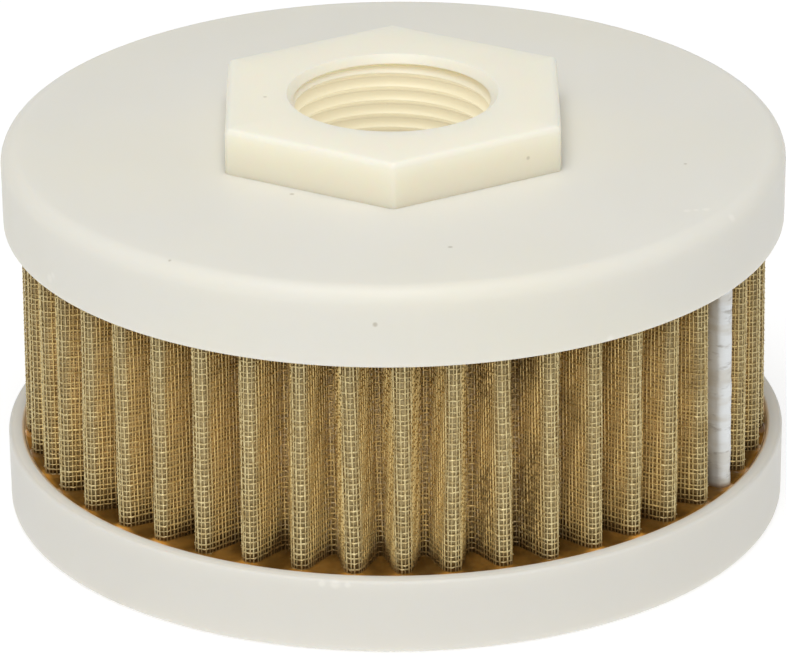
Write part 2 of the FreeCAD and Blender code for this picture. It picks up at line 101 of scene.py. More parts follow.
class FilterSizes(bpy.types.PropertyGroup):
    cap_radius: length("Cap radius", 48.5, "Widest radius of both caps")
    rim_taper: length("Rim taper", 0.12, "How much narrower a rim is at its lower end")
    rim_inner: length("Rim inner radius", 46.5, "Inside of both rims")
    plate: length("Plate", 2.5, "Thickness of each cap's flat plate")
    bottom_depth: length("Bottom cap depth", 9.75, "Height of the bottom cap")
    top_mouth: length("Top cap mouth", 37.5, "Height of the top cap's lower edge")
    top_face: length("Top cap face", 47.6, "Height of the top cap's upper face")
    face_round: length("Face round", 2.2, "Round of the top cap's upper edge")
    base_round: length("Base round", 1.1, "Round of the bottom cap's lower edge")
    lip_round: length("Lip round", 0.4, "Round of the edges at both mouths")
    collar_outer: length("Collar outer", 39.16, "Outer radius of the collars inside the caps")
    collar_inner: length("Collar inner", 37.56, "Inner radius of the collars inside the caps")
    collar_height: length("Collar height", 6.8, "How far a collar stands out of its plate")
    hex_flats: length("Hexagon", 41.0, "Hexagon across its flats")
    hex_top: length("Hexagon top", 53.45, "Height of the hexagon's upper face")
    hex_corner: length("Hexagon corner", 0.9, "Round of the hexagon's upright edges")
    hex_edge: length("Hexagon edge", 0.8, "Round of the hexagon's upper edge")
    flange_radius: length("Flange radius", 30.0, "Radius of the flange under the plate")
    flange_thickness: length("Flange thickness", 2.4, "Thickness of that flange")
    sleeve_wall: length("Sleeve wall", 4.9, "Wall of the sleeve round the bore")
    sleeve_bottom: length("Sleeve bottom", 37.15, "Height of the sleeve's lower end")
    bore_radius: length("Bore radius", 12.06, "Radius at the thread's crests")
    bore_chamfer: length("Bore chamfer", 1.0, "Chamfer at both ends of the bore")
    thread_pitch: length("Thread pitch", 1.814, "One turn of the pipe thread")
    thread_depth: length("Thread depth", 1.1, "Depth of the pipe thread")
    pleats: IntProperty(
        name="Pleats", description="Folds round the pack, the seam's too", default=46, min=12
    )
    seam: FloatProperty(
        name="Seam",
        description="Where the seam stands, measured from the front",
        default=math.radians(63.0),
        subtype="ANGLE",
        unit="ROTATION",
    )
    tip_centre: length("Tip centre", 44.95, "Radius at which a pleat's tip is centred")
    tip_bend: length("Tip bend", 1.25, "Outer bend radius of a tip")
    valley_centre: length("Valley centre", 41.4, "Radius at which a valley is centred")
    valley_bend: length("Valley bend", 0.4, "Outer bend radius of a valley")
    wire: length("Wire", 0.22, "Diameter of the outer cloth's level wires")
    upright: length("Upright wire", 0.18, "Diameter of its upright wires")
    crimp: length("Crimp", 0.09, "How far a level wire swings to either side")
    wire_pitch: length("Wire pitch", 0.7, "Step between level wires")
    wander: length("Wander", 0.07, "How far a wire strays from its even place")
    swell: length("Swell", 0.12, "How far a tip strays in or out")
    cloth: length("Outer cloth", 0.4, "Thickness of the outer cloth")
    fine_cloth: length("Fine cloth", 0.14, "Thickness of the filter cloth")
    inner_cloth: length("Inner cloth", 0.36, "Thickness of the inner support cloth")
    cloth_gap: length("Cloth gap", 0.02, "Gap between two cloths")
    cloth_bottom: length("Cloth bottom", 8.7, "Lowest shown height of the cloths")
    cloth_top: length("Cloth top", 39.3, "Highest shown height of the cloths")
    fin_start: length("Fin start", 42.6, "Radius at which the seam's legs turn outwards")
    fin_end: length("Fin end", 44.85, "Radius at which the seam's legs end")
    fin_half: length("Fin half width", 0.99, "Half the width of the seam's two legs")
    fin_bend: length("Fin bend", 0.8, "Outer bend radius where the legs turn outwards")
    clip_centre: length("Clip nose centre", 44.87, "Radius at which the clip's nose is centred")
    clip_mouth: length("Clip mouth", 42.87, "Radius at which the clip's legs end")
    clip_half: length("Clip half width", 1.43, "Half the width of the clip")
    clip_metal: length("Clip metal", 0.42, "Thickness of the clip's metal")
    resin_level: length("Resin level", 9.15, "Height of the resin in the bottom cap")
    resin_bottom: length("Resin bottom", 2.52, "Underside of the resin in the bottom cap")
    resin_gap: length("Resin gap", 0.02, "Gap between the resin and the walls round it")
    core_radius: length("Core radius", 39.91, "Outer radius of the core tube")
    climb: length("Climb", 0.4, "How high the resin climbs a wall")
    climb_reach: length("Climb reach", 0.45, "How far from a wall the resin rises")
    soak: length("Soak", 1.9, "How high the resin soaks into the cloth in a valley")


class FilterColours(bpy.types.PropertyGroup):
    cap: colour("Cap", (0.78, 0.762, 0.69), "Moulded caps")
    cap_warm: colour("Cap, warm", (0.79, 0.766, 0.67), "Warmer cloudy parts of the caps")
    # Painted shade: the bottom cap, low by the floor, is coloured a little darker
    cap_low_shade: colour("Cap, low", (0.735, 0.716, 0.655), "Bottom cap, slightly greyer")
    speck: colour("Speck", (0.34, 0.29, 0.20), "Rare specks in the plastic")
    # Pale scuffs, also used for painted glints and for the painted highlight on the bottom cap's mouth
    # edge
    scuff_and_highlight: colour("Scuff", (0.95, 0.93, 0.86), "Pale scuffs on the top cap")
    cream: colour("Cream", (0.915, 0.868, 0.725), "Port fitting")
    # Painted shade and warm bounce light, deeper towards the hexagon's foot and down the bore; also
    # the colour of the fitting's painted glow
    cream_shade_and_glow: colour("Cream, deep", (0.80, 0.735, 0.54), "Port fitting where it is thick or deep")
    # Painted shade inside the bore, under the bore's painted glow
    cream_bore_shade: colour("Cream, bore", (0.45, 0.40, 0.27), "Port fitting inside its bore")
    brass: colour("Brass", (0.86, 0.65, 0.27), "Outer cloth on the flanks")
    brass_pale: colour("Brass, pale", (0.74, 0.62, 0.33), "Outer cloth on the tips")
    # Painted highlights: pale dots in place of glints on the wires deep in the valleys
    brass_valley_glint: colour("Brass, grey", (0.74, 0.58, 0.32), "Bare wire deep in the valleys")
    brass_dull: colour("Brass, dull", (0.42, 0.28, 0.09), "Tarnish")
    wet: colour("Wet", (0.26, 0.15, 0.045), "Cloth soaked with resin")
    fine: colour("Fine cloth", (0.84, 0.60, 0.255), "Threads of the filter cloth")
    fine_dark: colour("Fine cloth, dark", (0.34, 0.23, 0.085), "Between those threads")
    # Painted shade: the filter cloth made darker behind the tips, where it is seen through the holes
    fine_tip_shade: colour("Fine cloth, tips", (0.46, 0.37, 0.19), "Filter cloth behind the tips")
    metal: colour("Clip", (0.78, 0.80, 0.80), "Seam clip")
    metal_dull: colour("Clip, dull", (0.52, 0.46, 0.34), "Seam clip's flanks")
    # Painted shade in the clip's creases; also the resin-soaked foot of its flank
    metal_crease_shade_and_soak: colour("Clip, creases", (0.30, 0.27, 0.22), "Seam clip's creases")
    steel: colour("Core", (0.50, 0.50, 0.49), "Core tube")
    resin: colour("Resin", (0.21, 0.10, 0.018), "Cast resin")
    resin_warm: colour("Resin, warm", (0.60, 0.28, 0.045), "Thinner resin near the rim")
    resin_pale: colour("Resin, pale", (0.88, 0.64, 0.38), "Thin edge of the resin at the rim")
    floor: colour("Floor", (0.50, 0.50, 0.50), "Floor and background")


def sizes():
    return bpy.context.scene.filter_sizes


def colours():
    return bpy.context.scene.filter_colours


# Plane curves that the cloths and the clip follow


def turned(angle, reach=1.0):
    return Vector((math.cos(angle), math.sin(angle))) * reach


class Line:
    def __init__(self, start, end, normal):
        self.start = start
        self.end = end
        self.normal = normal
        self.length = (end - start).length

    def at(self, run):
        return self.start.lerp(self.end, run / self.length), self.normal

    def stops(self, step):
        return [self.length]


class Arc:
    """A bend round centre. side is 1 where the cloth's outer face looks away from the centre."""

    def __init__(self, centre, radius, start, end, side):
        self.centre = centre
        self.radius = radius
        self.start = start
        self.end = end
        self.side = side
        self.length = abs(end - start) * radius

    def at(self, run):
        angle = self.start + (self.end - self.start) * run / self.length
        return self.centre + turned(angle, self.radius), turned(angle) * self.side

    def stops(self, step):
        count = max(2, round(abs(self.end - self.start) / step))
        return [self.length * (i + 1) / count for i in range(count)]


class Course:
    """Lines and arcs end to end. at(run) gives a point and the cloth's outward normal there."""

    def __init__(self, parts):
        self.parts = parts
        self.length = sum(part.length for part in parts)

    def at(self, run):
        left = run
        for part in self.parts[:-1]:
            if left <= part.length:
                return part.at(left)
            left -= part.length
        return self.parts[-1].at(left)

    def stops(self, step):
        runs = [0.0]
        begun = 0.0
        for part in self.parts:
            runs += [begun + stop for stop in part.stops(step)]
            begun += part.length
        return runs


def half_pitch():
    return math.pi / sizes().pleats


def seam_angle():
    """The seam's angle from the X axis."""
    return sizes().seam - QUARTER


def tip_point():
    return Vector((sizes().tip_centre, 0.0))


def valley_point():
    return turned(half_pitch(), sizes().valley_centre)


def leg_lean(between, bends, side):
    """Where a straight leg faces, from the way between the two bends' centres and their radii."""
    return math.atan2(between.y, between.x) + side * math.acos(bends / between.length)


def pleat_lean():
    s = sizes()
    return leg_lean(valley_point() - tip_point(), s.tip_bend + s.valley_bend, -1)


def half_pleat(depth):
    """From a pleat's tip to the next valley, that far inside the outer cloth's outer face."""
    s = sizes()
    tip = tip_point()
    valley = valley_point()
    lean = pleat_lean()
    tip_radius = s.tip_bend - depth
    valley_radius = s.valley_bend + depth
    return Course(
        [
            Arc(tip, tip_radius, 0.0, lean, 1),
            Line(tip + turned(lean, tip_radius), valley - turned(lean, valley_radius), turned(lean)),
            Arc(valley, valley_radius, lean + math.pi, half_pitch() + math.pi, -1),
        ]
    )


def seam_leg(depth):
    """From the valley beside the seam to the end of the leg that the clip holds."""
    s = sizes()
    valley = valley_point()
    bend = Vector((s.fin_start, s.fin_half + s.fin_bend))
    valley_radius = s.valley_bend + depth
    bend_radius = s.fin_bend + depth
    lean = leg_lean(bend - valley, bend_radius - valley_radius, 1)
    fin_height = s.fin_half - depth
    fin = Vector((s.fin_start, fin_height)), Vector((s.fin_end, fin_height)), Vector((0, 1))
    return Course(
        [
            Arc(valley, valley_radius, half_pitch() + math.pi, lean + math.pi, -1),
            Line(valley - turned(lean, valley_radius), bend - turned(lean, bend_radius), turned(lean)),
            Arc(bend, bend_radius, lean + math.pi, math.pi * 1.5, -1),
            Line(*fin),
        ]
    )


def mirrored(spot, normal):
    return Vector((spot.x, -spot.y)), Vector((normal.x, -normal.y))


def whole_pleat(course, run):
    """A point and normal on a whole pleat, with run from -length to length through the tip."""
    place = course.at(abs(run))
    return mirrored(*place) if run < 0 else place


def stand(spot, normal, height):
    """The place whose X is the cloth's outward normal and whose Z is up."""
    along = Vector((-normal.y, normal.x))
    level = (normal.x, along.x, 0.0, spot.x), (normal.y, along.y, 0.0, spot.y)
    return Matrix((*level, (0.0, 0.0, 1.0, height), (0.0, 0.0, 0.0, 1.0)))


def point_at(reach, angle, height):
    """The point that far from the axis, at that angle from the X axis and that height."""
    return Vector((reach * math.cos(angle), reach * math.sin(angle), height))


# Helpers for meshes


def mapped_grid(bm, columns, rows, place):
    """A grid whose point in column i and row j is moved to place(i, j)."""
    made = bmesh.ops.create_grid(bm, x_segments=columns, y_segments=rows, size=1.0)["verts"]
    for vert in made:
        i = round((vert.co.x + 1.0) / 2.0 * columns)
        j = round((vert.co.y + 1.0) / 2.0 * rows)
        vert.co = place(i, j)
    return made


def tidy(bm):
    bmesh.ops.remove_doubles(bm, verts=bm.verts, dist=MERGED)
    bmesh.ops.dissolve_degenerate(bm, edges=bm.edges, dist=MERGED)
    bmesh.ops.recalc_face_normals(bm, faces=bm.faces)


def mesh_from(bm, name):
    mesh = bpy.data.meshes.new(name)
    bm.to_mesh(mesh)
    bm.free()
    return mesh


def piece(name, bm, slot, replaced=(), sharp=True):
    """Makes the mesh an object that rides on the part, with its slot's material."""
    mesh = mesh_from(bm, name)
    mesh.polygons.foreach_set("use_smooth", [True] * len(mesh.polygons))
    if sharp:
        mesh.set_sharp_from_angle(angle=SHARP)
    mesh.materials.append(material(slot))
    made = bpy.data.objects.new(name, mesh)
    bpy.context.scene.collection.objects.link(made)
    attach(made, "root" if "root" in frame["bodies"] else next(iter(frame["bodies"])))
    if replaced:
        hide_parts(*replaced)
    return made


# Angles from the front, and how far the folds there stand off their even places, in degrees,
# read from where the photograph shows the tips.
FOLD_STOPS = (-150, -110, -72, -62, -47, -31, -15, 1, 16, 32, 47, 54, 60, 66, 71, 85, 105, 150)
FOLD_SHIFTS = (
    (0.3, -0.2, -0.6, -0.9, -0.2, 0.0, 0.6, 0.65, 0.35)
    + (0.05, -0.25, -0.3, -0.5, -0.6, -1.5, -0.9, 0.2, -0.3)
)
FOLD_LEAN = math.radians(0.3)


def settle(made, swell=0.0, wander=0.0):
    """Moves the folds off their even places, as hand-folded cloth stands, and strays the wires."""
    s = sizes()
    mesh = made.data
    spots = np.empty(len(mesh.vertices) * 3)
    mesh.vertices.foreach_get("co", spots)
    x, y, z = spots.reshape(-1, 3).T
    reach = np.hypot(x, y)
    turn = np.arctan2(x, -y)
    shift = np.radians(np.interp(np.degrees(turn), FOLD_STOPS, FOLD_SHIFTS, period=360))
    middle = (s.cloth_top + s.cloth_bottom) / 2
    up = (z - middle) / (s.cloth_top - middle)
    shift += FOLD_LEAN * up * (np.sin(11 * turn) + np.sin(17 * turn)) / 2
    shift += wander / reach * np.sin(310 * turn + 60 * z / MM)
    out = np.clip((reach - s.valley_centre) / (s.tip_centre - s.valley_centre), 0, 1)
    bulge = swell * out * np.sin(13 * turn + 2)
    bulge += 0.6 * wander * np.sin(7.5 * reach / MM + 40 * turn)
    rise = 0.8 * wander * (np.sin(3.3 * z / MM + 21 * turn) + np.sin(5.7 * z / MM - 35 * turn))
    turn = turn + shift
    reach = reach + bulge
    moved = np.column_stack((reach * np.sin(turn), -reach * np.cos(turn), z + rise))
    mesh.vertices.foreach_set("co", moved.ravel())
    mesh.update()


def turn_mesh(bm, angle):
    bmesh.ops.rotate(bm, verts=bm.verts, cent=Vector(), matrix=Matrix.Rotation(angle, 3, ABOUT_Z))


def around(bm):
    """Turns a pleat one pitch away from the seam and copies it round to the seam's other side."""
    count = sizes().pleats - 1
    pitch = 2 * half_pitch()
    turn_mesh(bm, pitch)
    bmesh.ops.spin(
        bm,
        geom=bm.verts[:] + bm.edges[:] + bm.faces[:],
        cent=Vector(),
        axis=ABOUT_Z,
        angle=pitch * (count - 1),
        steps=count - 1,
        use_duplicate=True,
    )


def swept(bm, ring, places):
    """Draws a ring of new points along the places."""
    edges = list(dict.fromkeys(edge for vert in ring for edge in vert.link_edges))
    bmesh.ops.transform(bm, matrix=places[0], verts=ring)
    for before, after in zip(places, places[1:]):
        drawn = bmesh.ops.extrude_edge_only(bm, edges=edges)["geom"]
        verts = [item for item in drawn if isinstance(item, bmesh.types.BMVert)]
        new = set(verts)
        drawn_edges = (item for item in drawn if isinstance(item, bmesh.types.BMEdge))
        edges = [edge for edge in drawn_edges if new.issuperset(edge.verts)]
        bmesh.ops.transform(bm, matrix=after @ before.inverted(), verts=verts)


# Materials


def rgba(value):
    return (*value, 1.0)


class Finish:
    """A material in the making. Its base colour is laid on in tints, one over another."""

    def __init__(self, name, base):
        self.material = bpy.data.materials.new(name + FINISHED)
        self.material.use_nodes = True
        self.tree = self.material.node_tree
        self.base = rgba(base)
        self.at = self.add("TexCoord").outputs["Object"]
        self.x, self.y, self.height = self.add("SeparateXYZ", {0: self.at}).outputs
        flat = self.add("CombineXYZ", {0: self.x, 1: self.y}).outputs[0]
        self.reach = self.add("VectorMath", {0: flat}, operation="LENGTH").outputs[1]

    def feed(self, node, inputs):
        """Sets or links a node's inputs."""
        for name, value in inputs.items():
            if isinstance(value, bpy.types.NodeSocket):
                self.tree.links.new(value, node.inputs[name])
            else:
                node.inputs[name].default_value = value

    def add(self, kind, inputs=None, **attributes):
        made = self.tree.nodes.new("ShaderNode" + kind)
        for name, value in attributes.items():
            setattr(made, name, value)
        self.feed(made, inputs or {})
        return made

    def math(self, operation, first, second=0.0):
        return self.add("Math", {0: first, 1: second}, operation=operation).outputs[0]

    def times(self, *shares):
        product = shares[0]
        for share in shares[1:]:
            product = self.math("MULTIPLY", product, share)
        return product

    def span(self, value, low, high, to_low=0.0, to_high=1.0):
        """The value from low to high, mapped to the other range and held inside it."""
        return self.add(
            "MapRange",
            {0: value, 1: low, 2: high, 3: to_low, 4: to_high},
            interpolation_type="SMOOTHSTEP",
        ).outputs[0]

    def clouds(self, scale, detail=2.0, roughness=0.5, at=None):
        where = self.at if at is None else at
        inputs = {"Vector": where, "Scale": scale, "Detail": detail, "Roughness": roughness}
        return self.add("TexNoise", inputs).outputs[0]

    def patches(self, scale, detail, *limits):
        return self.span(self.clouds(scale, detail), *limits)

    def tint(self, value, *shares):
        """Lays a colour over the base colour, as strong as the product of the shares."""
        inputs = {0: self.times(*shares), 6: self.base, 7: rgba(value)}
        self.base = self.add("Mix", inputs, data_type="RGBA").outputs[2]

    def shade(self, value):
        """Makes the base colour darker or lighter."""
        inputs = {"Value": value, "Color": self.base}
        self.base = self.add("HueSaturation", inputs).outputs[0]

    def mark(self, marks, value, share):
        """Paints small round marks, each stated as its place and radius in millimetres."""
        for x, y, z, radius in marks:
            inputs = {0: self.at, 1: (x * MM, y * MM, z * MM)}
            away = self.add("VectorMath", inputs, operation="DISTANCE").outputs[1]
            self.tint(value, self.span(away, radius * 1.4 * MM, radius * 0.4 * MM, 0.0, share))

    def bump(self, height, strength, distance):
        inputs = {"Height": height, "Strength": strength, "Distance": distance}
        return self.add("Bump", inputs).outputs[0]

    def done(self, inputs):
        shader = self.tree.nodes["Principled BSDF"]
        self.feed(shader, {"Base Color": self.base, **inputs})
        return self.material


CAP_SPECKS = (
    (35.7, -9.9, 47.6, 0.22),
    (6.7, -35.5, 47.6, 0.30),
    (-12.3, -18.5, 47.6, 0.30),
    (-26.6, -38.6, 47.4, 0.22),
    (-2.3, -48.4, 43.2, 0.30),
)
# Pale scuffs on the top cap's face edge at the right, and painted glints: on the top cap's left mouth
# edge, on its lower edge at the front right, and on the bottom cap's rim at the front.
CAP_SCUFFS_AND_GLINTS = (
    (35.3, -24.9, 47.5, 0.45),
    (36.4, -24.7, 47.5, 0.35),
    (37.6, -24.5, 47.5, 0.45),
    (40.8, -25.4, 46.9, 0.55),
    (-41.6, -24.6, 39.4, 0.60),
    (-41.2, -25.4, 40.1, 0.40),
    (25.6, -41.0, 37.9, 0.50),
    (-7.4, -47.8, 9.2, 0.60),
    (-9.0, -47.6, 9.2, 0.45),
    (-5.9, -48.0, 9.2, 0.40),
)
FITTING_SPECKS = (
    (-15.7, -1.2, 53.45, 0.25),
    (16.4, -14.2, 50.3, 0.25),
    (7.4, -20.3, 47.9, 0.25),
)
# Heights between which the bottom cap's painted shade ends. Both lie in the gap between the caps.
LOW_CAP_SHADE_ENDS = (11 * MM, 10 * MM)


def cap_material():
    c = colours()
    s = sizes()
    f = Finish("cap_plastic", c.cap)
    f.tint(c.cap_warm, f.patches(28.0, 3.0, 0.35, 0.7))
    low = f.span(f.height, *LOW_CAP_SHADE_ENDS)
    # Painted shade: the whole bottom cap is tinted a little darker.
    f.tint(c.cap_low_shade, low)
    f.mark(CAP_SPECKS, c.speck, 0.5)
    # Scuffs, and painted glints.
    f.mark(CAP_SCUFFS_AND_GLINTS, c.scuff_and_highlight, 0.32)
    # Painted highlight: the bottom cap's mouth edge, which the top cap shades from above, is made
    # paler.
    lip = f.span(f.height, s.bottom_depth - 0.3 * MM, s.bottom_depth, 0.0, 0.5)
    within = f.span(f.reach, s.cap_radius - 0.2 * MM, s.cap_radius - 0.7 * MM)
    f.tint(c.scuff_and_highlight, lip, within, low)
    stain = f.span(f.reach, s.rim_inner + 0.5 * MM, s.rim_inner + 0.2 * MM, 0.0, 0.8)
    f.tint(c.resin_pale, stain, low)
    return f.done(
        {
            "Roughness": f.patches(90.0, 2.0, 0.3, 0.7, 0.42, 0.52),
            "Specular IOR Level": 0.35,
            "Subsurface Weight": 0.5,
            "Subsurface Radius": (4.0 * MM, 3.5 * MM, 2.8 * MM),
            "Subsurface Scale": 0.7,
            "Normal": f.bump(f.clouds(55.0), 0.25, 0.4 * MM),
        }
    )


# Painted glow in place of light that comes through the nylon: the bore's glow from its foot to its
# mouth, and the faces'.
BORE_GLOW = (0.44, 0.55)
FACE_GLOW = 0.05
# Shares of the painted shade inside the bore and at the hexagon's foot.
BORE_SHADE = 0.9
FOOT_SHADE = 0.35


def fitting_material():
    c = colours()
    s = sizes()
    f = Finish("fitting_plastic", c.cream)
    # Painted shade and warm bounce light: the fitting is tinted deeper towards its foot and down its
    # bore, and more so within 2.5 mm of the cap's face.
    low = f.span(f.height, s.hex_top, s.hex_top - 12 * MM)
    foot = f.span(f.height, s.top_face + 2.5 * MM, s.top_face)
    f.tint(c.cream_shade_and_glow, f.math("MAXIMUM", low, f.times(foot, FOOT_SHADE)))
    f.mark(FITTING_SPECKS, c.speck, 0.4)
    wall = s.bore_radius + s.thread_depth
    inside = f.times(
        f.span(f.reach, wall + 1.0 * MM, wall + 0.2 * MM),
        f.span(f.height, s.hex_top - 0.8 * MM, s.hex_top - 3.5 * MM),
    )
    # Painted shade: the bore's wall is made darker, and the painted glow below brightens it evenly, so
    # that its thread shows little shade of its own.
    f.tint(c.cream_bore_shade, inside, BORE_SHADE)
    # Painted glow: emission along the bore and, weaker, on all of the fitting below its top face, in
    # place of light through the nylon.
    glow = f.times(inside, f.span(f.height, s.hex_top - 14 * MM, s.hex_top - 3 * MM, *BORE_GLOW))
    faces = f.span(f.height, s.hex_top - 0.2 * MM, s.hex_top - 1.0 * MM, 0.0, FACE_GLOW)
    return f.done(
        {
            "Emission Color": rgba(c.cream_shade_and_glow),
            "Emission Strength": f.math("MAXIMUM", glow, faces),
            "Roughness": f.patches(120.0, 2.0, 0.3, 0.7, 0.36, 0.46),
            "Specular IOR Level": 0.35,
            "Subsurface Weight": 0.6,
            "Subsurface Radius": (6.0 * MM, 4.5 * MM, 3.0 * MM),
            "Subsurface Scale": 1.0,
            "Normal": f.bump(f.clouds(90.0), 0.2, 0.3 * MM),
        }
    )


def soaked(f, more=0.0):
    """Where resin has soaked into a cloth: barely on the tips, and well up the valleys."""
    s = sizes()
    inward = f.span(f.reach, s.tip_centre + 1.0 * MM, s.valley_centre)
    up = f.times(inward, f.patches(170.0, 2.0, 0.35, 0.65, 0.35, 1.1), s.soak)
    level = f.math("ADD", up, s.resin_level + 0.2 * MM + more)
    return f.span(f.math("SUBTRACT", f.height, level), 1.8 * MM, -0.6 * MM)


# The stretch of the front, from left to right, that has the nets, and their cells to a metre.
NETS_FROM = 8.5 * MM
NETS_TO = 20.5 * MM
NET_CELLS = 900.0


def netted(f):
    """Dark net lines, in patches on a few folds."""
    inputs = {"Vector": f.at, "Scale": NET_CELLS}
    cells = f.add("TexVoronoi", inputs, feature="DISTANCE_TO_EDGE").outputs[0]
    tip = sizes().tip_centre
    return f.times(
        f.span(cells, 0.16, 0.06, 0.0, 0.6),
        f.patches(95.0, 1.0, 0.42, 0.50),
        f.span(f.x, NETS_FROM, NETS_FROM + 2 * MM),
        f.span(f.x, NETS_TO, NETS_TO - 2 * MM),
        f.span(f.y, 0.0, -10 * MM),
        f.span(f.reach, tip, tip - 0.6 * MM),
    )


def wire_material():
    c = colours()
    s = sizes()
    f = Finish("support_cloth", c.brass)
    tip = f.span(f.reach, s.tip_centre - 0.4 * MM, s.tip_centre + 0.9 * MM)
    f.tint(c.brass_pale, tip)
    # Painted highlights: pale dots deep in the valleys, in place of glints on the crimped wires there.
    deep = f.span(f.reach, s.valley_centre + 1.0 * MM, s.valley_centre + 0.2 * MM)
    f.tint(c.brass_valley_glint, deep, f.patches(2200.0, 0.0, 0.52, 0.62))
    f.tint(c.brass_dull, f.patches(200.0, 2.0, 0.52, 0.78, 0.0, 0.5))
    f.tint(c.brass_dull, f.patches(1500.0, 1.0, 0.38, 0.62, 0.0, 0.45), tip)
    f.tint(c.wet, netted(f))
    wet = soaked(f)
    f.tint(c.wet, wet)
    return f.done(
        {
            "Metallic": f.span(wet, 0.0, 1.0, 0.65, 0.2),
            "Roughness": f.span(wet, 0.0, 1.0, 0.42, 0.16),
        }
    )


FINE_SKEW = 0.12
FINE_STEPS = (0.42 * MM, 0.46 * MM)


def fine_material():
    """The filter cloth's close weave, drawn along its own length and height."""
    c = colours()
    s = sizes()
    f = Finish("filter_cloth", c.fine_dark)
    cloth = f.add("UVMap", uv_map="cloth").outputs[0]
    skewed = {"Vector": cloth, "Rotation": (0.0, 0.0, FINE_SKEW)}
    skew = f.add("Mapping", skewed).outputs[0]
    ways = f.add("SeparateXYZ", {0: skew}).outputs
    waves = [
        f.math("ABSOLUTE", f.math("SINE", f.times(way, math.pi / step)))
        for way, step in zip(ways, FINE_STEPS)
    ]
    threads = f.math("MAXIMUM", *waves)
    patchy = f.patches(220.0, 3.0, 0.3, 0.7, 0.55, 1.0)
    f.tint(c.fine, f.span(threads, 0.55, 0.98), patchy)
    # Painted shade: the filter cloth is darker behind the tips, where it shows through the outer
    # cloth's holes.
    f.tint(c.fine_tip_shade, f.span(f.reach, s.tip_centre - 0.2 * MM, s.tip_centre + 0.6 * MM, 0.0, 0.75))
    f.tint(c.wet, netted(f))
    wet = soaked(f, 1.2 * MM)
    f.tint(c.wet, wet, 0.85)
    return f.done(
        {
            "Metallic": 0.2,
            "Roughness": f.span(wet, 0.0, 1.0, 0.5, 0.2),
            "Normal": f.bump(threads, 0.5, 0.08 * MM),
        }
    )


def clip_material():
    c = colours()
    s = sizes()
    f = Finish("clip_metal", c.metal)
    pressed = f.add("Mapping", {"Vector": f.at, "Scale": (0.4, 0.4, 1.3)}).outputs[0]
    creases = f.clouds(900.0, 3.0, 0.6, pressed)
    flank = f.span(f.reach, s.clip_centre - 0.2 * MM, s.clip_centre - 1.4 * MM)
    f.tint(c.metal_dull, flank, f.patches(210.0, 2.0, 0.35, 0.6, 0.35, 1.0))
    f.tint(c.metal_dull, f.span(f.clouds(420.0, at=pressed), 0.40, 0.62, 0.0, 0.4))
    # Painted shade: the creases are coloured darker.
    f.tint(c.metal_crease_shade_and_soak, f.span(creases, 0.57, 0.74, 0.0, 0.6))
    wetted = f.span(f.height, s.resin_level + 5.5 * MM, s.resin_level + 0.5 * MM, 0.0, 0.8)
    f.tint(c.metal_crease_shade_and_soak, flank, wetted)
    f.tint(c.wet, f.span(f.height, s.resin_level + 1.2 * MM, s.resin_level + 0.2 * MM))
    return f.done(
        {
            "Metallic": 0.35,
            "Roughness": f.span(creases, 0.3, 0.7, 0.38, 0.52),
            "Normal": f.bump(creases, 0.6, 0.2 * MM),
        }
    )


def steel_material():
    f = Finish("core_steel", colours().steel)
    return f.done({"Metallic": 1.0, "Roughness": f.patches(300.0, 3.0, 0.3, 0.7, 0.35, 0.55)})


def resin_material():
    c = colours()
    s = sizes()
    f = Finish("resin", c.resin)
    near = f.span(f.reach, s.tip_centre + 0.4 * MM, s.rim_inner - 0.3 * MM)
    f.tint(c.resin_warm, near, f.patches(110.0, 2.0, 0.35, 0.65, 0.25, 1.0))
    f.tint(c.resin_pale, f.span(f.reach, s.rim_inner - 0.3 * MM, s.rim_inner - 0.1 * MM))
    f.shade(f.patches(240.0, 3.0, 0.35, 0.7, 0.6, 1.3))
    return f.done(
        {
            "Roughness": 0.18,
            "Coat Weight": 0.15,
            "Coat Roughness": 0.1,
            "Subsurface Weight": 0.15,
            "Subsurface Radius": (3.0 * MM, 1.2 * MM, 0.4 * MM),
            "Subsurface Scale": 0.4,
            "Normal": f.bump(f.clouds(480.0), 0.3, 0.2 * MM),
        }
    )


FLOOR_GLOW = 0.62


def floor_material():
    f = Finish("floor", colours().floor)
    f.shade(f.patches(6.0, 2.0, 0.0, 1.0, 0.99, 1.0))
    return f.done(
        {
            "Roughness": 0.9,
            "Emission Color": (1.0, 1.0, 1.0, 1.0),
            "Emission Strength": FLOOR_GLOW,
        }
    )


def material(name):
    """Makes each material once."""
    makers = {
        "cap_plastic": cap_material,
        "fitting_plastic": fitting_material,
        "support_cloth": wire_material,
        "filter_cloth": fine_material,
        "clip_metal": clip_material,
        "core_steel": steel_material,
        "resin": resin_material,
        "floor": floor_material,
    }
    return bpy.data.materials.get(name + FINISHED) or makers[name]()


# Caps and port fitting

CAP_COLUMNS = 288
WALL_ROWS = 6
SUNK = 0.06 * MM
SUNK_SCALE = 45.0


def round_points(centre, radius, start, end, count):
    """Points on a round, in radius and height."""
    step = (end - start) / (count - 1)
    return [centre + turned(start + step * i, radius) for i in range(count)]


def hexagon_reach(angle, inset=0.0):
    """How far the hexagon's outline is from the axis at that angle, with a corner at the front."""
    s = sizes()
    sixth = math.pi / 3
    apothem = s.hex_flats / 2 - inset
    corner = max(s.hex_corner - inset, 0.1 * MM)
    centre = (apothem - corner) / math.cos(math.pi / 6)
    off = abs((angle + QUARTER + math.pi / 6) % sixth - math.pi / 6)
    turn_off = math.atan2(corner / 2, centre + corner * math.cos(math.pi / 6))
    if off < turn_off:
        return centre * math.cos(off) + math.sqrt(corner**2 - (centre * math.sin(off)) ** 2)
    return apothem / math.cos(math.pi / 6 - off)


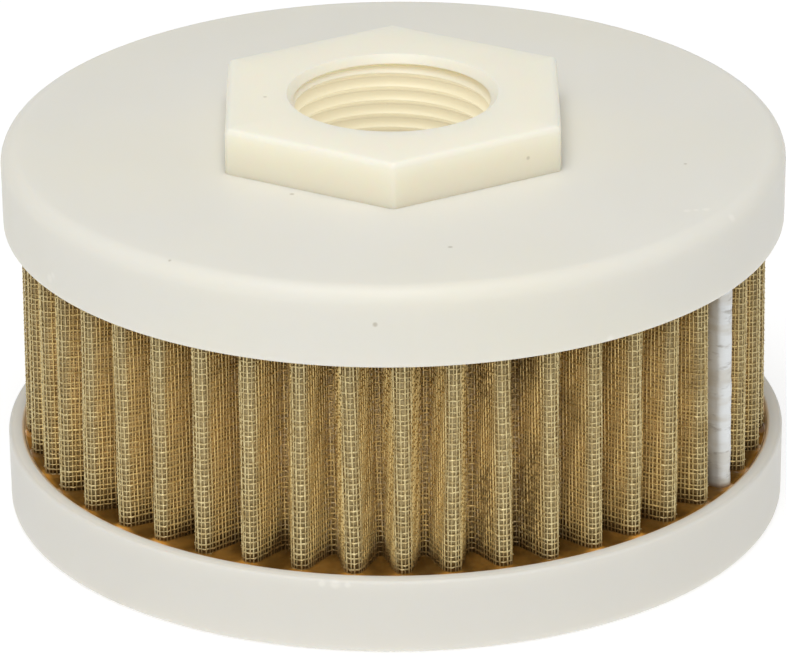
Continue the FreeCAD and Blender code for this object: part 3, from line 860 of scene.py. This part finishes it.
def lathe(bm, profile, angles):
    """Turns a profile of radius and height. A radius may be a function of the angle."""

    def place(i, j):
        reach, height = profile[j]
        return point_at(reach(angles[i]) if callable(reach) else reach, angles[i], height)

    mapped_grid(bm, len(angles) - 1, len(profile) - 1, place)


def soften(bm):
    """Sinks the outer wall very slightly and unevenly, as moulded plastic is."""
    for vert in bm.verts:
        reach = vert.co.xy.length
        if reach > sizes().rim_inner + 0.5 * MM:
            sunk = (noise.noise(vert.co * SUNK_SCALE) + 1.0) / 2 * SUNK
            vert.co.xy *= (reach - sunk) / reach


def rim_profile(base_z, mouth_z, base_radius, mouth_radius, edge, up):
    """The rim's outline from the plate's outer face round to its inside at the mouth."""
    s = sizes()
    lip = s.lip_round
    foot = base_z + up * edge
    rise = mouth_z - base_z - up * (edge + lip)
    points = round_points(Vector((base_radius - edge, foot)), edge, -up * QUARTER, 0.0, 9)
    for i in range(1, WALL_ROWS):
        share = i / WALL_ROWS
        reach = base_radius + (mouth_radius - base_radius) * share
        points.append(Vector((reach, foot + rise * share)))
    for reach, start in ((mouth_radius - lip, 0), (s.rim_inner + lip, 1)):
        centre = Vector((reach, mouth_z - up * lip))
        points += round_points(centre, lip, up * start * QUARTER, up * (start + 1) * QUARTER, 6)
    return points


def collar_profile(plate_z, up):
    s = sizes()
    top = plate_z + up * s.collar_height
    return [
        (s.rim_inner, plate_z),
        (s.collar_outer, plate_z),
        (s.collar_outer, top),
        (s.collar_inner, top),
        (s.collar_inner, plate_z),
    ]


def turn_cap(name, profile, node):
    bm = bmesh.new()
    angles = [2 * math.pi * i / CAP_COLUMNS for i in range(CAP_COLUMNS + 1)]
    lathe(bm, profile + profile[:1], angles)
    soften(bm)
    tidy(bm)
    piece(name, bm, "cap_plastic", [node])


class FILTER_OT_caps(bpy.types.Operator):
    """Turns both moulded end caps"""

    bl_idname = "filter.caps"
    bl_label = "End caps"

    def execute(self, context):
        s = sizes()
        narrow = s.cap_radius - s.rim_taper
        profile = rim_profile(0.0, s.bottom_depth, narrow, s.cap_radius, s.base_round, 1)
        profile += collar_profile(s.plate, 1)
        profile += [(0.0, s.plate), (0.0, 0.0), (s.cap_radius / 2, 0.0)]
        turn_cap("bottom_cap_shell", profile, "bottom_cap")

        under = s.top_face - s.plate
        beyond_hexagon = s.hex_flats * 0.64
        profile = rim_profile(s.top_face, s.top_mouth, s.cap_radius, narrow, s.face_round, -1)
        profile += collar_profile(under, -1)
        profile += [(hexagon_reach, under), (hexagon_reach, s.top_face), (beyond_hexagon, s.top_face)]
        turn_cap("top_cap_shell", profile, "top_cap")
        return {"FINISHED"}


THREAD_ROWS = 14
THREAD_COLUMNS = 120
EDGE_STEPS = 5
# Further angles at each corner of the hexagon, in degrees either side of it.
CORNER_STEPS = (-1.1, -0.85, -0.6, -0.35, -0.12, 0.12, 0.35, 0.6, 0.85, 1.1)
# How nearly the thread's flanks meet in a sharp edge, where 1 is fully sharp.
FLANK_SHARPNESS = 0.94


def thread_reach(angle, height):
    """The bore wall's radius on a right-hand internal thread that fades in at both ends."""
    s = sizes()
    turns = height / s.thread_pitch - angle / (2 * math.pi)
    wave = math.cos(2 * math.pi * turns)
    shape = math.asin(FLANK_SHARPNESS * wave) / math.asin(FLANK_SHARPNESS)
    low = s.sleeve_bottom + s.bore_chamfer
    high = s.hex_top - s.bore_chamfer
    fade = min(1.0, (height - low) / (1.0 * MM) + 0.3, (high - height) / (0.7 * MM) + 0.25)
    return s.bore_radius + s.thread_depth * fade * (1 - shape) / 2


def hexagon_angles():
    """Even angles, with more of them at the rounded corners."""
    found = [2 * math.pi * step / THREAD_COLUMNS for step in range(THREAD_COLUMNS)]
    for corner in range(6):
        middle = corner * math.pi / 3 + math.pi / 6
        found += [(middle + math.radians(off)) % (2 * math.pi) for off in CORNER_STEPS]
    return sorted({round(angle, 9) for angle in found}) + [2 * math.pi]


class FILTER_OT_port_fitting(bpy.types.Operator):
    """Builds the hexagonal port fitting with its internal pipe thread"""

    bl_idname = "filter.port_fitting"
    bl_label = "Port fitting"

    def execute(self, context):
        s = sizes()
        bm = bmesh.new()
        top = s.hex_top
        low = s.sleeve_bottom
        plate = s.top_face - s.plate
        flange_low = plate - s.flange_thickness
        mouth = s.bore_radius + s.bore_chamfer
        sleeve = s.bore_radius + s.sleeve_wall
        angles = hexagon_angles()

        def outline(inset):
            return lambda angle: hexagon_reach(angle, inset)

        profile = [(mouth, top), (mouth + 1.2 * MM, top)]
        for i in range(EDGE_STEPS + 1):
            turn = QUARTER * i / EDGE_STEPS
            inset = s.hex_edge * (1 - math.sin(turn))
            profile.append((outline(inset), top - s.hex_edge * (1 - math.cos(turn))))
        for share in (0.25, 0.5, 0.75, 1.0):
            height = top - s.hex_edge + (plate - top + s.hex_edge) * share
            profile.append((hexagon_reach, height))
        profile += [
            (s.flange_radius, plate),
            (s.flange_radius, flange_low),
            (sleeve, flange_low),
            (sleeve, low),
            (mouth, low),
        ]
        lathe(bm, profile, angles)
        thread_low = low + s.bore_chamfer
        thread_high = top - s.bore_chamfer
        turns = (thread_high - thread_low) / s.thread_pitch
        count = math.ceil((turns + 1) * THREAD_ROWS)

        def wall(i, j):
            angle = angles[i]
            if j in (0, count + 2):
                return point_at(mouth, angle, top if j else low)
            rise = (j - 1) / THREAD_ROWS - 1 + angle / (2 * math.pi)
            height = min(max(thread_low + rise * s.thread_pitch, thread_low), thread_high)
            return point_at(thread_reach(angle, height), angle, height)

        mapped_grid(bm, len(angles) - 1, count + 2, wall)
        tidy(bm)
        piece("port_fitting", bm, "fitting_plastic", ["hex_port_fitting"])
        return {"FINISHED"}


# Cloths and seam clip

WIRES_A_PLEAT = 26
UPRIGHT_STEPS = 14
UPRIGHT_SIDES = 5
LEVEL_SIDES = 4
LEVEL_GROUPS = 5
SHEET_BEND = math.radians(14)


def wire_spots():
    """Where the upright wires stand on one pleat, and on the leg beside the seam."""
    s = sizes()
    pleat = half_pleat(s.cloth / 2)
    leg = seam_leg(s.cloth / 2)
    step = 2 * pleat.length / WIRES_A_PLEAT
    on_pleat = [whole_pleat(pleat, -pleat.length + (k + 0.5) * step) for k in range(WIRES_A_PLEAT)]
    on_leg = [leg.at((k + 0.5) * step) for k in range(int(leg.length / step))]
    return on_pleat, on_leg


def upright_wires(bm, spots):
    s = sizes()
    rise = s.cloth_top - s.cloth_bottom
    for spot, normal in spots:
        bmesh.ops.create_cone(
            bm,
            cap_ends=False,
            segments=UPRIGHT_SIDES,
            radius1=s.upright / 2,
            radius2=s.upright / 2,
            depth=rise,
            matrix=stand(spot, normal, s.cloth_bottom + rise / 2),
        )
    tall = [edge for edge in bm.edges if edge.calc_length() > rise / 2]
    bmesh.ops.subdivide_edges(bm, edges=tall, cuts=UPRIGHT_STEPS - 1, use_grid_fill=True)


def level_ring(phase):
    """One level wire's mesh, over and under the upright ones all round the pack."""
    s = sizes()
    on_pleat, on_leg = wire_spots()
    pitch = 2 * half_pitch()
    bm = bmesh.new()

    def place(spot, normal, k):
        side = 1 if (k + phase) % 2 == 0 else -1
        return stand(spot + normal * s.crimp * side, normal, 0.0)

    def draw(places):
        upright = Matrix.Rotation(QUARTER, 4, "X")
        ring = bmesh.ops.create_circle(bm, segments=LEVEL_SIDES, radius=s.wire / 2, matrix=upright)
        swept(bm, ring["verts"], places)

    def neighbour(place, way):
        return Matrix.Rotation(way * pitch, 4, "Z") @ place

    places = [place(*spot, k) for k, spot in enumerate(on_pleat)]
    draw(places + [neighbour(places[0], 1)])
    around(bm)
    right = [place(*spot, k + 1) for k, spot in enumerate(on_leg)]
    draw([neighbour(places[0], 1)] + right)
    left = [place(*mirrored(*spot), k) for k, spot in enumerate(on_leg)]
    draw([neighbour(places[-1], -1)] + left)
    turn_mesh(bm, seam_angle())
    bmesh.ops.remove_doubles(bm, verts=bm.verts, dist=MERGED)
    return mesh_from(bm, "ring")


class FILTER_OT_outer_cloth(bpy.types.Operator):
    """Weaves the outer support cloth from single wires"""

    bl_idname = "filter.outer_cloth"
    bl_label = "Outer cloth"

    def execute(self, context):
        s = sizes()
        on_pleat, on_leg = wire_spots()
        bm = bmesh.new()
        upright_wires(bm, on_pleat)
        around(bm)
        upright_wires(bm, on_leg + [mirrored(*spot) for spot in on_leg])
        turn_mesh(bm, seam_angle())
        made = piece("upright_wires", bm, "support_cloth", ["outer_support_mesh"], sharp=False)
        settle(made, s.swell, s.wander)

        rings = [level_ring(phase) for phase in (0, 1)]
        count = int((s.cloth_top - s.cloth_bottom) / s.wire_pitch) + 1
        a_group = math.ceil(count / LEVEL_GROUPS)
        for group in range(LEVEL_GROUPS):
            bm = bmesh.new()
            for row in range(group * a_group, min(count, (group + 1) * a_group)):
                before = len(bm.verts)
                bm.from_mesh(rings[row % 2])
                bm.verts.ensure_lookup_table()
                up = Vector((0, 0, s.cloth_bottom + row * s.wire_pitch))
                bmesh.ops.translate(bm, verts=bm.verts[before:], vec=up)
            bmesh.ops.recalc_face_normals(bm, faces=bm.faces)
            made = piece(f"level_wires_{group + 1}", bm, "support_cloth", sharp=False)
            settle(made, s.swell, s.wander)
        for ring in rings:
            bpy.data.meshes.remove(ring)
        return {"FINISHED"}


def cloth_sheet(depth, thickness):
    """A pleated sheet round the whole pack, with its length and height as a UV map."""
    s = sizes()
    bm = bmesh.new()
    uv = bm.loops.layers.uv.new("cloth")
    half = thickness / 2
    top, bottom = s.cloth_top, s.cloth_bottom
    corners = [(half, top), (-half, top), (-half, bottom), (half, bottom)]

    def strip(spots):
        """One stretch of the sheet, through points with their normals and runs along the cloth."""

        def place(i, j):
            spot, normal, run = spots[i]
            off, height = corners[j % 4]
            return Vector((*(spot + normal * off), height))

        made = mapped_grid(bm, len(spots) - 1, 4, place)
        known = [(spot + normal * off, run) for spot, normal, run in spots for off in (half, -half)]
        for face in {face for vert in made for face in vert.link_faces}:
            for loop in face.loops:
                flat = loop.vert.co.xy
                run = min(known, key=lambda entry: (entry[0] - flat).length_squared)[1]
                loop[uv].uv = (run, loop.vert.co.z)

    pleat = half_pleat(depth)
    runs = pleat.stops(SHEET_BEND)
    strip([(*whole_pleat(pleat, run), run) for run in [-run for run in reversed(runs)] + runs[1:]])
    around(bm)
    leg = seam_leg(depth)
    runs = leg.stops(SHEET_BEND)
    strip([(*leg.at(run), run) for run in runs])
    strip([(*mirrored(*leg.at(run)), run) for run in runs])
    turn_mesh(bm, seam_angle())
    return bm


class FILTER_OT_inner_cloths(bpy.types.Operator):
    """Folds the fine filter cloth and the inner support cloth behind the outer one"""

    bl_idname = "filter.inner_cloths"
    bl_label = "Inner cloths"

    def execute(self, context):
        s = sizes()
        depth = s.cloth + s.cloth_gap
        for name, thickness, slot, node in (
            ("fine_cloth", s.fine_cloth, "filter_cloth", "filter_mesh"),
            ("inner_cloth", s.inner_cloth, "support_cloth", "inner_support_mesh"),
        ):
            bm = cloth_sheet(depth + thickness / 2, thickness)
            tidy(bm)
            settle(piece(name, bm, slot, [node], sharp=False), s.swell)
            depth += thickness + s.cloth_gap
        return {"FINISHED"}


CLIP_ROWS = 90
DENT_DEPTH = 0.12 * MM
CREASE_DEPTH = 0.18 * MM


class FILTER_OT_seam_clip(bpy.types.Operator):
    """Bends the strip that grips the seam, with its creases"""

    bl_idname = "filter.seam_clip"
    bl_label = "Seam clip"

    def execute(self, context):
        s = sizes()
        bm = bmesh.new()
        nose = Vector((s.clip_centre, 0.0))
        inner = s.clip_half - s.clip_metal
        flank = (s.clip_centre - s.clip_mouth) / 4
        runs = [s.clip_mouth + i * flank for i in range(4)]
        outline = [Vector((run, -s.clip_half)) for run in runs]
        outline += round_points(nose, s.clip_half, -QUARTER, QUARTER, 15)
        outline += [Vector((run, s.clip_half)) for run in reversed(runs)]
        outline += [Vector((s.clip_mouth, inner))]
        outline += round_points(nose, inner, QUARTER, -QUARTER, 11)
        outline += [Vector((s.clip_mouth, -inner)), outline[0]]
        rise = s.cloth_top - s.cloth_bottom

        def place(i, j):
            flat = outline[i]
            height = s.cloth_bottom + rise * j / CLIP_ROWS
            point = Vector((flat.x, flat.y, height))
            dent = noise.noise(Vector((flat.x * 240, flat.y * 420, height * 380)))
            crease = noise.noise(Vector((3.1, flat.y * 60, height * 900)))
            sunk = (0.5 + 0.5 * dent) * DENT_DEPTH + max(0.0, crease - 0.15) * CREASE_DEPTH
            inward = (flat - nose) if flat.x > nose.x else Vector((0.0, flat.y))
            point.xy -= inward.normalized() * sunk
            return point

        mapped_grid(bm, len(outline) - 1, CLIP_ROWS, place)
        bmesh.ops.remove_doubles(bm, verts=bm.verts, dist=MERGED)
        bmesh.ops.holes_fill(bm, edges=bm.edges, sides=0)
        turn_mesh(bm, seam_angle())
        tidy(bm)
        settle(piece("creased_clip", bm, "clip_metal", ["seam_clip"]), s.swell)
        return {"FINISHED"}


# Resin, and what stays as packed

RESIN_COLUMNS_A_PLEAT = 36
RESIN_SHARES = (0.0, 0.03, 0.07, 0.12, 0.2, 0.32, 0.5, 0.7, 0.85, 0.94, 0.98, 1.0)
# How far the resin's face goes on behind the cloth's outer face, and how it rises at the rim.
RESIN_UNDER = 0.6 * MM
RIM_CLIMB = 0.4 * MM
RIM_CLIMB_REACH = 0.3 * MM


class Cloth:
    """The outer cloth's outer face, for one pleat folded onto its half."""

    def __init__(self):
        s = sizes()
        self.tip = tip_point()
        self.valley = valley_point()
        self.lean = pleat_lean()
        self.normal = turned(self.lean)
        self.start = self.tip + self.normal * s.tip_bend
        leg = (self.valley - self.normal * s.valley_bend) - self.start
        self.way = leg.normalized()
        self.length = leg.length

    def reach(self, angle):
        """How far the outer face is from the axis, for an angle from 0 at the tip."""
        s = sizes()
        ray = turned(angle)
        for centre, radius, side in ((self.tip, s.tip_bend, 1), (self.valley, s.valley_bend, -1)):
            along = centre.dot(ray)
            rest = radius**2 - (centre.length_squared - along**2)
            if rest >= 0:
                spot = ray * (along + side * math.sqrt(rest))
                off = (spot - centre).angle_signed(Vector((1, 0)), 0.0)
                if side == 1 and abs(off) <= self.lean + 0.01:
                    return spot.length
                if side == -1 and (spot - self.start).dot(self.way) > self.length:
                    return spot.length
        return self.start.dot(self.normal) / ray.dot(self.normal)

    def distance(self, spot):
        """How far a point between the folds is from the outer face."""
        s = sizes()
        run = (spot - self.start).dot(self.way)
        if run < 0:
            return (spot - self.tip).length - s.tip_bend
        if run > self.length:
            return s.valley_bend - (spot - self.valley).length
        return (spot - self.start).dot(self.normal)


class FILTER_OT_resin(bpy.types.Operator):
    """Pours the resin in the bottom cap, climbing the cloth and the rim"""

    bl_idname = "filter.resin"
    bl_label = "Bottom resin"

    def execute(self, context):
        s = sizes()
        cloth = Cloth()
        pitch = 2 * half_pitch()
        core = s.core_radius + s.resin_gap * 2
        edge = s.rim_inner - s.resin_gap
        shares = [i / RESIN_COLUMNS_A_PLEAT for i in range(RESIN_COLUMNS_A_PLEAT)]
        folds = [half_pitch() - abs(share - 0.5) * pitch for share in shares]
        starts = [cloth.reach(fold) - RESIN_UNDER for fold in folds]
        last = len(RESIN_SHARES) + 3
        corners = {
            0: (core, s.resin_bottom),
            1: (core, s.resin_level),
            last - 1: (edge, s.resin_bottom),
            last: (core, s.resin_bottom),
        }

        def place(i, j):
            angle = seam_angle() + pitch * i / RESIN_COLUMNS_A_PLEAT
            if j in corners:
                reach, height = corners[j]
                return point_at(reach, angle, height)
            column = i % RESIN_COLUMNS_A_PLEAT
            reach = starts[column] + (edge - starts[column]) * RESIN_SHARES[j - 2]
            gap = max(0.0, cloth.distance(turned(folds[column], reach)))
            swell = noise.noise(Vector((math.cos(angle), math.sin(angle), 0.3)) * 9)
            up = s.climb * (1.0 + 0.45 * swell) * math.exp(-gap / s.climb_reach)
            up = max(up, RIM_CLIMB * math.exp(-(edge - reach) / RIM_CLIMB_REACH))
            height = s.resin_level + min(up, s.bottom_depth - s.resin_level)
            return point_at(reach, angle, height)

        bm = bmesh.new()
        mapped_grid(bm, s.pleats * RESIN_COLUMNS_A_PLEAT, last, place)
        tidy(bm)
        settle(piece("bottom_resin", bm, "resin", ["bottom_potting"]))
        return {"FINISHED"}


class FILTER_OT_finishes(bpy.types.Operator):
    """Gives the pieces that stay as packed their materials"""

    bl_idname = "filter.finishes"
    bl_label = "Other finishes"

    def execute(self, context):
        for node, name in (("perforated_core", "core_steel"), ("top_potting", "resin")):
            mesh = frame["nodes"][node].data
            mesh.materials.clear()
            mesh.materials.append(material(name))
        return {"FINISHED"}


# Stage and panel

FLOOR_HALF = 6.0
FLOOR_DROP = 0.02 * MM
WORLD_STRENGTH = 0.42
# Each light's name, place and power.
LIGHTS = (
    ("key", (-0.08, -0.74, 0.70), 2.0),
    ("high", (-0.06, -0.26, 0.92), 3.9),
)
LIGHT_SIDE = 0.5
LIGHT_AIM = Vector((0.0, 0.0, 0.03))
CAMERA_AIM = Vector((0.0, 0.0, 0.02194))
CAMERA_AWAY = 0.9144
CAMERA_RISE = math.radians(23.386)
CAMERA_ROLL = math.radians(0.509)
CAMERA_LENS = 335.04
CAMERA_SHIFT = -0.00151


def look(name, data, place, way):
    """An object at that place that looks that way, with its upper side up."""
    made = bpy.data.objects.new(name, data)
    bpy.context.scene.collection.objects.link(made)
    made.location = place
    made.rotation_mode = "QUATERNION"
    made.rotation_quaternion = way.to_track_quat("-Z", "Y")
    return made


class FILTER_OT_stage(bpy.types.Operator):
    """Sets the floor, the light and the camera"""

    bl_idname = "filter.stage"
    bl_label = "Stage"

    def execute(self, context):
        scene = context.scene
        bm = bmesh.new()
        bmesh.ops.create_grid(bm, x_segments=1, y_segments=1, size=FLOOR_HALF)
        mesh = mesh_from(bm, "floor")
        mesh.materials.append(material("floor"))
        floor = bpy.data.objects.new("floor", mesh)
        floor.location.z = -FLOOR_DROP
        scene.collection.objects.link(floor)

        world = bpy.data.worlds.new("studio")
        world.use_nodes = True
        back = world.node_tree.nodes["Background"]
        back.inputs["Color"].default_value = (1.0, 1.0, 1.0, 1.0)
        back.inputs["Strength"].default_value = WORLD_STRENGTH
        scene.world = world
        scene.view_settings.view_transform = "Standard"
        for name, place, power in LIGHTS:
            lamp = bpy.data.lights.new(name, "AREA")
            lamp.shape = "RECTANGLE"
            lamp.size = LIGHT_SIDE
            lamp.size_y = LIGHT_SIDE
            lamp.energy = power
            look(name, lamp, place, LIGHT_AIM - Vector(place))

        lens = bpy.data.cameras.new("camera")
        lens.lens = CAMERA_LENS
        lens.shift_x = CAMERA_SHIFT
        back_way = Vector((0.0, -math.cos(CAMERA_RISE), math.sin(CAMERA_RISE)))
        camera = look("camera", lens, CAMERA_AIM + back_way * CAMERA_AWAY, -back_way)
        roll = Matrix.Rotation(CAMERA_ROLL, 3, -back_way).to_quaternion()
        camera.rotation_quaternion = roll @ camera.rotation_quaternion
        scene.camera = camera
        return {"FINISHED"}


class FILTER_PT_panel(bpy.types.Panel):
    """Sizes, colours and build steps of the filter element"""

    bl_idname = "FILTER_PT_panel"
    bl_label = "Filter Element"
    bl_space_type = "VIEW_3D"
    bl_region_type = "UI"
    bl_category = "Filter Element"

    def draw(self, context):
        layout = self.layout
        for step in STEPS:
            layout.operator(step.bl_idname)
        for group in (context.scene.filter_sizes, context.scene.filter_colours):
            box = layout.box()
            for name in group.__annotations__:
                box.prop(group, name)


STEPS = (
    FILTER_OT_caps,
    FILTER_OT_port_fitting,
    FILTER_OT_outer_cloth,
    FILTER_OT_inner_cloths,
    FILTER_OT_seam_clip,
    FILTER_OT_resin,
    FILTER_OT_finishes,
    FILTER_OT_stage,
)
CLASSES = (FilterSizes, FilterColours, *STEPS, FILTER_PT_panel)


def register():
    for item in CLASSES:
        bpy.utils.register_class(item)
    bpy.types.Scene.filter_sizes = PointerProperty(type=FilterSizes)
    bpy.types.Scene.filter_colours = PointerProperty(type=FilterColours)


def unregister():
    del bpy.types.Scene.filter_colours
    del bpy.types.Scene.filter_sizes
    for item in reversed(CLASSES):
        bpy.utils.unregister_class(item)


def main():
    register()
    bpy.ops.filter.caps()
    bpy.ops.filter.port_fitting()
    bpy.ops.filter.outer_cloth()
    bpy.ops.filter.inner_cloths()
    bpy.ops.filter.seam_clip()
    bpy.ops.filter.resin()
    bpy.ops.filter.finishes()
    bpy.ops.filter.stage()


if __name__ == "__main__":
    main()
